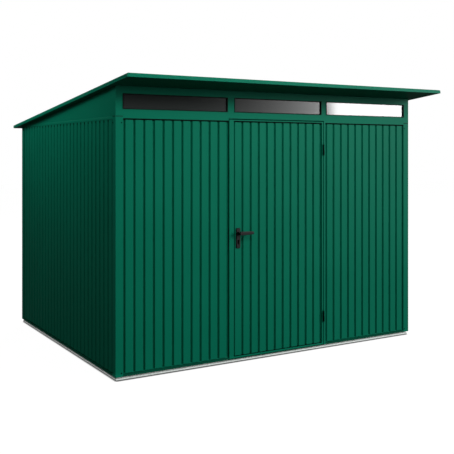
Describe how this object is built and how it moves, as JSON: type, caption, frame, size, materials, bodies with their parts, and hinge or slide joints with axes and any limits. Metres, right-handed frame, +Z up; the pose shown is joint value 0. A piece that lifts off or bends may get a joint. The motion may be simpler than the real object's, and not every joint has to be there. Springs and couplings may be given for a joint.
{
  "type": "metal storage shed",
  "caption": "Ribbed steel garden shed with a roof that falls to the back, windows over a hinged door with a lever handle, and a galvanised base frame.",
  "frame": {"origin": "on the ground, under the middle of the roof's outline", "axes": "+X to the right along the front, +Y from the front to the back, +Z up"},
  "size_m": [3.043, 2.853, 2.2565],
  "materials": {
    "green_powder_coat": "satin powder coat",
    "galvanised_steel": "hot-dip galvanised",
    "smoked_acrylic": "polished",
    "black_nylon": "moulded satin",
    "black_steel": "black powder coat",
    "plated_steel": "zinc and nickel plated"
  },
  "bodies": {
    "shed": {"base_rail_back": "galvanised_steel", "base_rail_front": "galvanised_steel", "base_rail_left": "galvanised_steel", "base_rail_right": "galvanised_steel", "corner_post_back_left": "green_powder_coat", "corner_post_back_right": "green_powder_coat", "corner_post_front_left": "green_powder_coat", "corner_post_front_right": "green_powder_coat", "drip_edge": "green_powder_coat", "fascia_front": "green_powder_coat", "fascia_left": "green_powder_coat", "fascia_right": "green_powder_coat", "front_panel_left": "green_powder_coat", "front_panel_right": "green_powder_coat", "gable_sheets": "green_powder_coat", "head_rail_back": "green_powder_coat", "head_rails_sides": "green_powder_coat", "header_rail": "green_powder_coat", "hinge_halves_fixed": "black_steel", "hinge_post": "green_powder_coat", "lock_post": "green_powder_coat", "panel_caps_front": "green_powder_coat", "roof_pans": "green_powder_coat", "roof_purlins": "green_powder_coat", "seam_caps": "green_powder_coat", "sill_back": "green_powder_coat", "sill_front": "green_powder_coat", "sills_sides": "green_powder_coat", "wall_sheets_back": "green_powder_coat", "wall_sheets_left": "green_powder_coat", "wall_sheets_right": "green_powder_coat", "window_end_posts": "green_powder_coat", "window_mullions": "green_powder_coat", "window_pane_left": "smoked_acrylic", "window_pane_middle": "smoked_acrylic", "window_pane_right": "smoked_acrylic", "window_top_rail": "green_powder_coat"},
    "door": {"door_skin": "green_powder_coat", "door_top_rail": "green_powder_coat", "door_bottom_rail": "green_powder_coat", "door_stiles": "green_powder_coat", "door_rails": "green_powder_coat", "lock_case": "plated_steel", "lock_plates": "black_nylon", "lock_cylinder": "black_steel", "hinge_halves_door": "black_steel"},
    "lever": {"lever_outside": "black_nylon", "lever_inside": "black_nylon", "lever_spindle": "plated_steel"}
  },
  "joints": [
    {"name": "door_swing", "type": "hinge", "parent": "shed", "child": "door", "pos_m": [0.467, -1.0845, 1], "axis": [0, 0, 1], "range_deg": [0, 110]},
    {"name": "lever_turn", "type": "hinge", "parent": "door", "child": "lever", "pos_m": [-0.39911, -1.0775, 1.045], "axis": [0, 1, 0], "range_deg": [0, 40], "stiffness_Nm_per_rad": 2, "springref_deg": -22.92}
  ]
}
